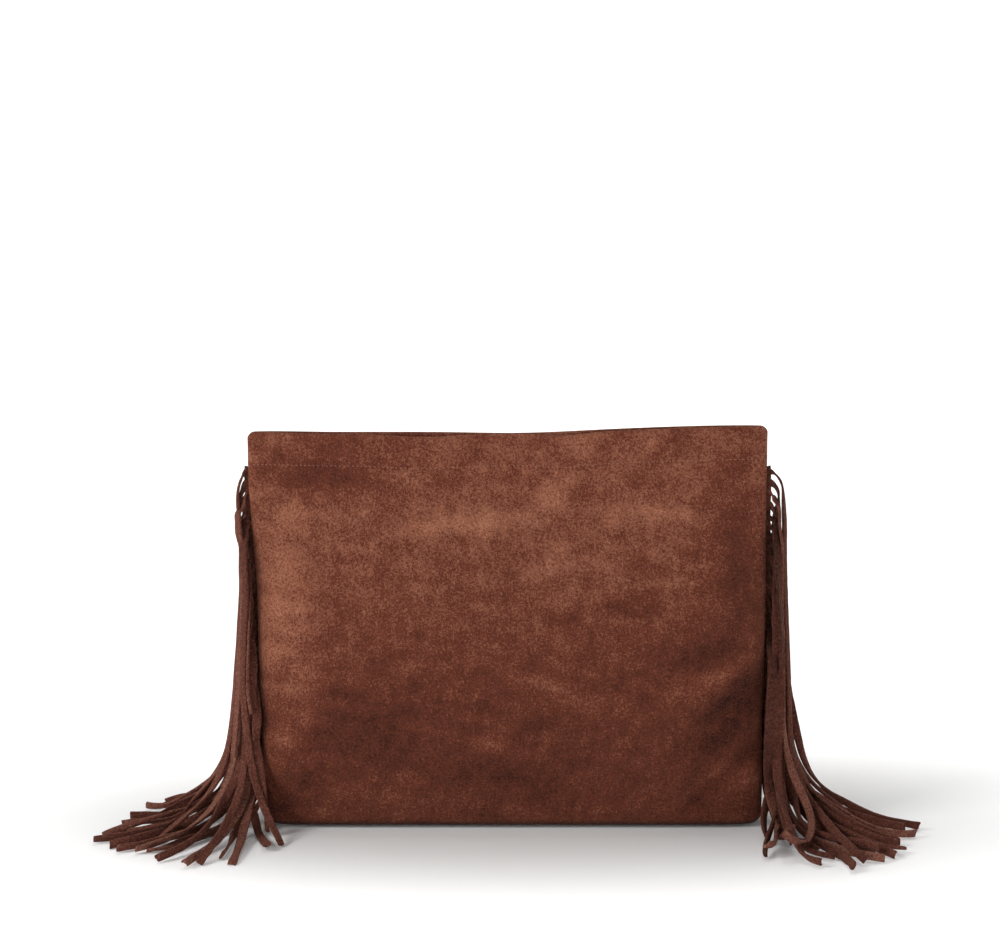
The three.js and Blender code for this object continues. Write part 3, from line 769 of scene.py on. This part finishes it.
def swept(centre, width, face, wide, thick, random, first):
    """One closed strip through centres with their width and face directions. It is full width at
    its root and a little narrower below, and it cups more and more towards its end."""
    rows, cols = len(centre), len(SECTION)
    along = np.arange(rows) * 1.5
    left = 1 + 0.05 * waves(along, 0 * along, 9, int(random.integers(1e6)), 8)
    right = 1 + 0.05 * waves(along, 0 * along, 9, int(random.integers(1e6)), 8)
    edge = np.where(SECTION[None, :, 0] < 0, left[:, None], right[:, None])
    taper = np.r_[np.ones(rows - 3), 0.99, 0.93, 0.78][:, None]
    across = SECTION[None, :, 0] * wide * edge * taper
    end = smooth(0.45, 0.95, along / along[-1])
    cup = random.normal(0, 0.25) * smooth(4, 30, along) + random.choice([-1, 1]) * 0.75 * end
    across *= (1 - 0.12 * end)[:, None]
    out = SECTION[None, :, 1] * thick * (1 + 0.25 * end[:, None]) * taper
    out = out + cup[:, None] * (0.5 - (2 * SECTION[None, :, 0]) ** 2)
    tangent = unit(np.gradient(centre, axis=0))
    snip = random.uniform(-0.4, 0.4) * smooth(rows - 5, rows - 1, np.arange(rows))[:, None] * across
    points = (
        centre[:, None]
        + width[:, None] * across[..., None]
        + face[:, None] * out[..., None]
        + tangent[:, None] * snip[..., None]
    )
    quads = grid_faces(np.arange(rows * cols).reshape(rows, cols), wrap=True)
    cap = np.array([[0, 1, 10, 11], [1, 2, 9, 10], [2, 3, 8, 9], [3, 4, 7, 8], [4, 5, 6, 7]])
    quads = np.concatenate([quads, cap[:, ::-1], cap + (rows - 1) * cols])
    return points.reshape(-1, 3), quads + first


def to_row(points, side):
    """From (out from the seam, ahead, up) to the row's own x, y and z."""
    x = side * (half_length(side, np.clip(points[..., 2], 0, HEIGHT)) + points[..., 0])
    return np.stack([x, -points[..., 1], points[..., 2]], -1)


BAND = 5.0  # the joined edge that goes into the seam, in mm
tail_tones_and_painted_shade = {}  # how pale each fringe's nap lies at each of its vertices, with painted shade added


def fringe(side, name):
    """One fringe: the joined edge of the comb and its tails, as one mesh. Tails lie with their nap
    up or down as it comes. Painted shade darkens them where they hang close together near the seam,
    and darkens the whole right fringe."""
    random = np.random.default_rng(50 + side)
    parts, faces, tones_and_painted_shade, first = [], [], [], 0

    def add(centre, width, face, wide, thick):
        nonlocal first
        points, quads = swept(centre, width, face, wide, thick, random, first)
        parts.append(points)
        faces.append(quads)
        # The random part is each tail's own tone. The rest is painted shade: darker higher up, where the
        # tails crowd by the seam, and darker on the right fringe.
        tone_and_painted_shade = random.normal(-0.1, 0.45) - 0.5 * smooth(60, 190, points[:, 2]) - 0.25 * (side > 0)
        tones_and_painted_shade.append(tone_and_painted_shade)
        first += len(points)

    for n in np.flatnonzero(tails["side"] == side):
        rungs = tails["rungs"][n]
        count = int(tails["step"][n, : rungs - 1].sum() / 1.5)
        edges = [to_row(spline(tail_points[e, n, :rungs], count), side) for e in (0, 1)]
        centre = (edges[0] + edges[1]) / 2
        width = unit(edges[1] - edges[0])
        face = unit(np.cross(np.gradient(centre, axis=0), width))
        reach = np.arange(count) * 1.5
        wide = mix(PITCH - 0.3, tails["width"][n], smooth(3, 12, reach))[:, None]
        add(centre, width, face, wide, SUEDE)
    z = np.linspace(COMB_TOP - TAILS * PITCH, COMB_TOP, 60)
    band = to_row(np.stack([0 * z + 0.4, 0 * z, z], 1), side)
    ones = np.ones((60, 1))
    add(band, ones * [float(side), 0, 0], ones * [0, float(side), 0], BAND, SUEDE * 0.94)
    tail_tones_and_painted_shade[name] = np.concatenate(tones_and_painted_shade)
    return make_mesh(name, np.concatenate(parts), np.concatenate(faces))


fringes = [fringe(-1, "fringe_left_tails"), fringe(1, "fringe_right_tails")]

# %% [markdown]
# ## Finishes
#
# A finish is a small tree of nodes. One helper adds a node, sets what is a plain value and joins what
# is a socket. Patterns are given by their real size in millimetres: a noise of scale s repeats about
# every 1/s metres, so a grain of g mm has scale 1000 / g.

# %% Helpers for finishes
def linear(hexcode):
    """An sRGB hex colour as linear red, green, blue and alpha."""
    parts = [int(hexcode[k : k + 2], 16) / 255 for k in (0, 2, 4)]
    return tuple(v / 12.92 if v <= 0.04045 else ((v + 0.055) / 1.055) ** 2.4 for v in parts) + (1.0,)


def add_node(tree, kind, links=None, **settings):
    """Adds a node. settings are its own properties, or stops for a ramp. links fills its inputs."""
    made = tree.nodes.new(kind)
    for key, value in settings.items():
        if key != "stops":
            setattr(made, key, value)
            continue
        ramp = made.color_ramp
        while len(ramp.elements) < len(value):
            ramp.elements.new(0.5)
        for element, (place, colour) in zip(ramp.elements, value):
            element.position, element.color = place, colour
    for key, value in (links or {}).items():
        if isinstance(value, bpy.types.NodeSocket):
            tree.links.new(value, made.inputs[key])
        else:
            made.inputs[key].default_value = value
    return made


def grain(millimetres):
    """The scale of a pattern whose parts are that big."""
    return 1000 / millimetres


def new_material(name, **shader):
    """A material, its node tree and its shader with plain values set."""
    made = bpy.data.materials.new(name)
    made.use_nodes = True
    tree = made.node_tree
    surface = tree.nodes["Principled BSDF"]
    for key, value in shader.items():
        surface.inputs[key.replace("_", " ")].default_value = value
    return made, tree, surface


def coat(tree, surface, level, stops, bumps):
    """Ends a finish: the level looked up in a ramp colours it, and each (height, strength, distance
    in metres) raises it in turn."""
    colour = add_node(tree, "ShaderNodeValToRGB", {0: level}, stops=stops)
    tree.links.new(colour.outputs[0], surface.inputs["Base Color"])
    links = {}
    for height, strength, distance in bumps:
        links.update(Height=height, Strength=strength, Distance=distance)
        links["Normal"] = add_node(tree, "ShaderNodeBump", links).outputs[0]
    tree.links.new(links["Normal"], surface.inputs["Normal"])


def store(piece, name, values):
    """Keeps one number for each vertex of a piece under a name that its finish can read."""
    layer = piece.data.attributes.new(name, "FLOAT", "POINT")
    layer.data.foreach_set("value", np.asarray(values, np.float32))


def points_of(piece):
    """The vertices of a piece in mm."""
    flat = np.empty(len(piece.data.vertices) * 3, np.float32)
    piece.data.vertices.foreach_get("co", flat)
    return flat.reshape(-1, 3) / MM


# %% [markdown]
# ### Napped suede
#
# Suede is split hide buffed on its flesh side until short fibres stand up. Fibres brushed one way look
# pale and brushed the other way look dark, so it is never one even brown: it has cloudy patches the
# size of a hand's touch, smaller blotches and a fine grain. It has hardly any gloss, only a faint bloom
# of light on the tips of the fibres. The nap's real grain is 0.3 mm, drawn as 0.8 mm so that it shows.

# %% Where the nap is brushed, and where light and shade are painted
# (x, z), (half width, half height), lean, how pale (+) or dark (-)
# Most ovals are painted light and shade that follow the relief: pale on swellings, on ridges and
# down the left edge, which face the lamp; dark in hollows, in the folds at the lower right, down the
# right edge and in the bottom-left corner beside the fringe. Others are patches of nap.
FRONT_NAP_AND_PAINTED_LIGHT = [
    ((-112, 211), (34, 10), 0, -0.80),
    ((-105, 229), (38, 9), 0, -0.35),
    ((-18, 185), (30, 7), 0, 0.80),
    ((-50, 179), (12, 6), 0, 0.35),
    ((27, 198), (10, 9), 0, 0.60),
    ((45, 230), (8, 6), 0, 0.45),
    ((85, 189), (25, 6), 0, 0.65),
    ((-128, 190), (8, 6), 0, 0.40),
    ((-104, 187), (9, 7), 0, 0.30),
    ((-134, 118), (19, 62), 4, 0.55),
    ((36, 160), (22, 16), 0, 0.25),
    ((83, 134), (8, 7), 0, -0.55),
    ((60, 134), (9, 7), 0, -0.30),
    ((117, 108), (15, 10), 8, -0.80),
    ((88, 104), (13, 10), 0, -0.30),
    ((136, 160), (15, 50), 0, -0.70),
    ((142, 84), (20, 12), 35, -0.50),
    ((128, 57), (26, 7), 42, -0.90),
    ((140, 46), (14, 7), 35, -0.70),
    ((118, 20), (10, 14), 0, -0.50),
    ((122, 92), (24, 6), 32, 0.60),
    ((126, 74), (24, 5), 38, -0.60),
    ((128, 40), (22, 4), 42, 0.55),
    ((142, 30), (12, 7), 0, 0.40),
    ((-85, 56), (30, 15), 0, -0.45),
    ((-8, 36), (46, 12), 0, -0.40),
    ((20, 24), (9, 8), 0, -0.40),
    ((-77, 22), (18, 11), 0, 0.25),
    ((-50, 22), (14, 11), 0, 0.22),
    ((32, 84), (20, 6), -28, 0.50),
    ((66, 73), (9, 5), 0, 0.30),
    ((22, 66), (12, 6), 0, -0.30),
    ((-10, 54), (24, 7), 0, 0.20),
    ((-75, 74), (38, 12), 0, -0.25),
    ((-142, 18), (16, 13), 0, -0.80),
    ((-120, 32), (10, 7), 0, -0.45),
]


def nap_with_painted_light(points):
    """From about -1, dark, to 1, pale, over the whole body: how the nap lies, plus painted light and shade
    that is paler higher up and darker at the foot.
    """
    x, y, z = points.T
    # Painted light on the front: the ovals, and paler higher up and darker lower down, as the light falls.
    front = sum(oval(x, z, *o) for o in FRONT_NAP_AND_PAINTED_LIGHT) + 0.55 * smooth(60, 175, z) - 0.28
    # Painted light on the back: paler higher up and darker lower down.
    back = 0.16 * waves(x, z, 60, 37) + 0.40 * smooth(50, 180, z) - 0.2
    streaks = 0.13 * waves(x + y, 1.8 * z, 26, 41) + 0.10 * waves(x + y, z, 11, 43)
    # Painted shade: the bottom few mm, where the hide rolls under onto the floor, is darkened as contact
    # shade.
    foot = 2.4 * (1 - smooth(1, 5.5, z))
    return np.where(y < 0, front, back) + streaks - foot


store(suede_body, "nap", nap_with_painted_light(points_of(suede_body)))
for piece in fringes:
    store(piece, "nap", tail_tones_and_painted_shade[piece.name])

# %% [markdown]
# One tree makes both suedes. It starts from the stored nap value, which is how the nap lies plus
# painted light and shade, adds four noises from a hand's touch down to the fibres, and looks the sum
# up in a ramp of three browns. The two finest noises also raise the surface, so the grain is lit as
# well as coloured.

# %% Suede
def suede(name, dark, middle, pale, cloud_share, nap_and_light_share):
    """Suede whose colour runs from dark through middle to pale with its stored nap value: how its nap lies,
    plus painted light and shade.
    """
    made, tree, surface = new_material(
        name,
        Roughness=0.95,
        Specular_IOR_Level=0.15,
        Sheen_Weight=0.22,
        Sheen_Roughness=0.5,
        Sheen_Tint=linear("c08a70"),
    )
    place = add_node(tree, "ShaderNodeTexCoord").outputs["Object"]
    # This attribute holds painted light and shade as well as the nap.
    level = add_node(tree, "ShaderNodeAttribute", attribute_name="nap").outputs["Fac"]
    level = add_node(tree, "ShaderNodeMath", {0: level, 1: nap_and_light_share, 2: 0.5}, operation="MULTIPLY_ADD")
    heights = []
    for size, detail, share in ((13, 2, 0.30), (3.4, 2, 0.45), (1.5, 1, 1.2), (0.8, 1, 1.9)):
        links = {"Vector": place, "Scale": grain(size), "Detail": detail}
        noise = add_node(tree, "ShaderNodeTexNoise", links).outputs[0]
        centred = add_node(tree, "ShaderNodeMath", {0: noise, 1: 0.5}, operation="SUBTRACT")
        links = {0: centred.outputs[0], 1: share * cloud_share, 2: level.outputs[0]}
        level = add_node(tree, "ShaderNodeMath", links, operation="MULTIPLY_ADD")
        heights.append(noise)
    stops = [(0.0, linear(dark)), (0.5, linear(middle)), (1.0, linear(pale))]
    fibres_and_tufts = [(heights[3], 0.9, 0.0007), (heights[2], 0.9, 0.0014)]
    coat(tree, surface, level.outputs[0], stops, fibres_and_tufts)
    return made


body_suede = suede("napped_suede_split_hide", "280f09", "603022", "a06951", 0.40, 0.34)
tail_suede = suede("napped_suede_cut_tails", "2a130d", "5c3329", "8c6051", 0.42, 0.27)

# %% [markdown]
# ### Cotton, thread, nickel and board
#
# Inside, the lining is plain-woven brown cotton. Its threads are 0.4 mm apart, drawn here as 1.2 mm.
# The sewing thread is a little paler than the hide. The snap is pressed steel with a bright nickel
# plate, brushed by the press, and the base is pulped fibre board, which is flecked.

# %% Other finishes
def woven_cotton():
    """Two crossing sets of threads, as the product of two waves, shade the cloth and emboss it."""
    made, tree, surface = new_material("woven_cotton_lining", Roughness=0.88, Specular_IOR_Level=0.25)
    place = add_node(tree, "ShaderNodeTexCoord").outputs["Object"]
    threads = []
    for axis in ("DIAGONAL", "Z"):
        links = {"Vector": place, "Scale": grain(1.2) / 20, "Distortion": 0.6, "Detail": 1.0}
        threads.append(add_node(tree, "ShaderNodeTexWave", links, bands_direction=axis).outputs["Fac"])
    weave = add_node(tree, "ShaderNodeMath", {0: threads[0], 1: threads[1]}, operation="MULTIPLY")
    slub = add_node(tree, "ShaderNodeTexNoise", {"Vector": place, "Scale": grain(9), "Detail": 3.0})
    share = {0: slub.outputs[0], 1: 0.5, 2: weave.outputs[0]}
    level = add_node(tree, "ShaderNodeMath", share, operation="MULTIPLY_ADD")
    stops = [(0.1, linear("3d2a20")), (1.0, linear("6b4d3c"))]
    coat(tree, surface, level.outputs[0], stops, [(weave.outputs[0], 0.4, 0.0002)])
    return made


def flecked(name, scale, low, high, bump_distance, **shader):
    """A finish with one noise: it blends two colours and roughens the surface."""
    made, tree, surface = new_material(name, **shader)
    place = add_node(tree, "ShaderNodeTexCoord").outputs["Object"]
    noise = add_node(tree, "ShaderNodeTexNoise", {"Vector": place, "Scale": scale, "Detail": 4.0})
    stops = [(0.35, linear(low)), (0.65, linear(high))]
    coat(tree, surface, noise.outputs[0], stops, [(noise.outputs[0], 0.5, bump_distance)])
    return made


cotton = woven_cotton()
thread = flecked("twisted_polyester_thread", grain(0.5), "74483a", "966854", 0.0001, Roughness=0.6)
board = flecked("pressed_fibre_board", grain(2.5), "6b5a48", "8c7962", 0.0002, Roughness=0.9)
nickel = flecked("nickel_plated_pressed_steel", grain(1.5), "b5b0a6", "cfcac0", 0.00003,
                 Metallic=1.0, Roughness=0.28)

# %% [markdown]
# ## Putting the pieces on the frame
#
# The bag has no joint, so every piece rides on the one body. Each cloth or hide piece stands for the
# plain solid of the same part, and the board and the snap keep their solids.

# %% Pieces and what they stand for
def finish_piece(piece, material, slot_name, *stands_for):
    """Gives a piece its finish and its place in the frame."""
    piece.data.materials.clear()
    piece.data.materials.append(material)
    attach(piece, "root")
    if stands_for:
        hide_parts(*stands_for)


finish_piece(suede_body, body_suede, "suede", "suede_body")
finish_piece(lining, cotton, "lining", "lining_bag")
finish_piece(fringes[0], tail_suede, "suede", "fringe_left")
finish_piece(fringes[1], tail_suede, "suede", "fringe_right")
for row in stitches:
    finish_piece(row, thread, "suede")
for name, material in (
    ("base_board", board),
    ("snap_socket", nickel),
    ("snap_stud", nickel),
    ("snap_socket_washer", nickel),
    ("snap_stud_washer", nickel),
):
    node_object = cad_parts[name]
    node_object.data.materials.clear()
    node_object.data.materials.append(material)

# %% [markdown]
# ## Floor, light and camera
#
# The bag stands on white paper that runs out to a ring of white cloth. Away from the bag the paper
# glows a little, a painted light that hides the horizon and sets how far the soft shadow at the foot
# reaches before the paper turns white. A lamp high on the left gives the face its shape, and a wide
# lamp above and behind leaves a soft grey shadow at the foot. The camera is a little above the bag
# and looks slightly down.

# %% Studio
scene = bpy.context.scene
scene.view_settings.view_transform = "Standard"
scene.view_settings.look = "None"


def stage_piece(name, points, faces, material):
    """A mesh that belongs to the studio and not to the bag."""
    mesh = bpy.data.meshes.new(name)
    mesh.from_pydata(points, [], faces)
    mesh.materials.append(material)
    piece = bpy.data.objects.new(name, mesh)
    scene.collection.objects.link(piece)


paper, tree, surface = new_material("white_paper_floor", Base_Color=linear("efefee"), Roughness=0.9)
# Painted light: the paper's own glow grows with distance from the bag, so the floor turns white just past
# the shadow at the foot.
place = add_node(tree, "ShaderNodeTexCoord").outputs["Object"]
squeezed = add_node(tree, "ShaderNodeVectorMath", {0: place, 1: (0.42, 1.0, 1.0)}, operation="MULTIPLY")
away = add_node(tree, "ShaderNodeVectorMath", {0: squeezed.outputs[0]}, operation="LENGTH")
links = {"Value": away.outputs["Value"], "From Min": 0.055, "From Max": 0.2, "To Min": 0.0, "To Max": 0.5}
glow = add_node(tree, "ShaderNodeMapRange", links, interpolation_type="SMOOTHSTEP")
surface.inputs["Emission Color"].default_value = (1.0, 1.0, 1.0, 1.0)
tree.links.new(glow.outputs[0], surface.inputs["Emission Strength"])
cloth = new_material(
    "white_tent_cloth",
    Base_Color=linear("efefee"),
    Emission_Color=(1.0, 1.0, 1.0, 1.0),
    Emission_Strength=0.9,
)[0]
TENT_SIDES, TENT_RADIUS, TENT_HEIGHT = 48, 3.2, 1.3
foot = np.arange(TENT_SIDES)
turns = foot * math.tau / TENT_SIDES
rim = np.stack([TENT_RADIUS * np.cos(turns), TENT_RADIUS * np.sin(turns), 0 * turns], 1)
walls = np.stack([foot, np.roll(foot, -1), np.roll(foot, -1) + TENT_SIDES, foot + TENT_SIDES], 1)
tent_points = np.concatenate([rim, rim + [0, 0, TENT_HEIGHT]])
stage_piece("floor", rim.tolist(), [foot.tolist()], paper)
stage_piece("tent", tent_points.tolist(), walls[:, ::-1].tolist(), cloth)

world = bpy.data.worlds.new("soft_white_sky")
world.use_nodes = True
world.node_tree.nodes["Background"].inputs["Color"].default_value = (1.0, 1.0, 1.0, 1.0)
world.node_tree.nodes["Background"].inputs["Strength"].default_value = 0.12
scene.world = world


def soft_lamp(name, place, aim, size, power):
    """A square area lamp at place, facing aim."""
    lamp = bpy.data.lights.new(name, "AREA")
    lamp.shape, lamp.size, lamp.energy = "SQUARE", size, power
    holder = bpy.data.objects.new(name, lamp)
    holder.location = place
    holder.rotation_euler = (Vector(aim) - Vector(place)).to_track_quat("-Z", "Y").to_euler()
    scene.collection.objects.link(holder)


soft_lamp("key_lamp", (-1.9, -1.0, 1.5), (0, 0, 0.12), 0.9, 34)
soft_lamp("top_lamp", (0, 0.7, 2.2), (0, 0.7, 0), 1.2, 16)

camera_data = bpy.data.cameras.new("camera")
camera_data.lens, camera_data.sensor_width = 69.3, 36
camera = bpy.data.objects.new("camera", camera_data)
camera.location = (-0.0045, -1.150, 0.350)
look = Vector((-0.0045, 0, 0.2145)) - camera.location
camera.rotation_euler = look.to_track_quat("-Z", "Y").to_euler()
scene.collection.objects.link(camera)
scene.camera = camera
